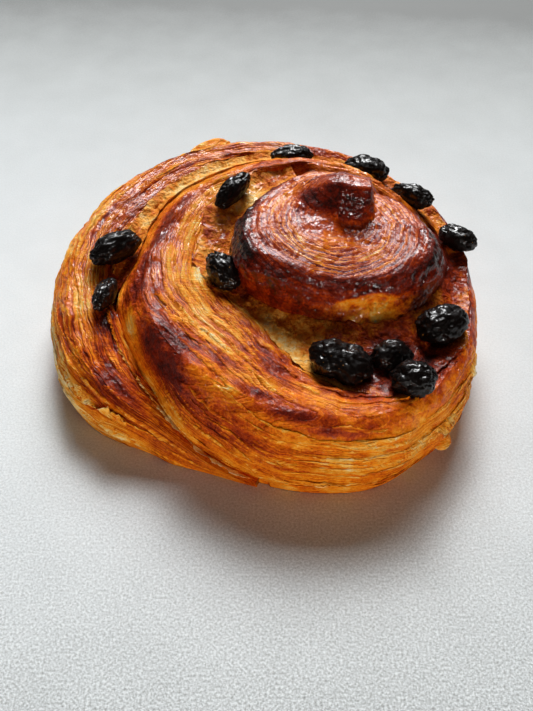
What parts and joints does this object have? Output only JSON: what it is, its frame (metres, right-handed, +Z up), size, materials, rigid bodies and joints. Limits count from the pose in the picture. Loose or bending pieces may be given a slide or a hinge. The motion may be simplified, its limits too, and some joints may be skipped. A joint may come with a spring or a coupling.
{
  "type": "pain aux raisins",
  "caption": "Round breakfast pastry: a spiral of flaky laminated dough with a custard layer and raisins in its valleys, risen to a domed crown with a knob",
  "frame": {"origin": "centre of the pastry's outline, on the plane it rests on", "axes": "+Z up through the crown, -Y towards the side with the broad valley and its group of raisins, +X to that side's right"},
  "size_m": [0.1178, 0.118, 0.0497],
  "materials": {
    "dough": "glossy",
    "custard": "satin",
    "raisin": "glossy"
  },
  "bodies": {
    "root": {"dough": "dough", "custard": "custard", "raisin_01": "raisin", "raisin_02": "raisin", "raisin_03": "raisin", "raisin_04": "raisin", "raisin_05": "raisin", "raisin_06": "raisin", "raisin_07": "raisin", "raisin_08": "raisin", "raisin_09": "raisin", "raisin_10": "raisin", "raisin_11": "raisin", "raisin_12": "raisin"}
  },
  "joints": []
}
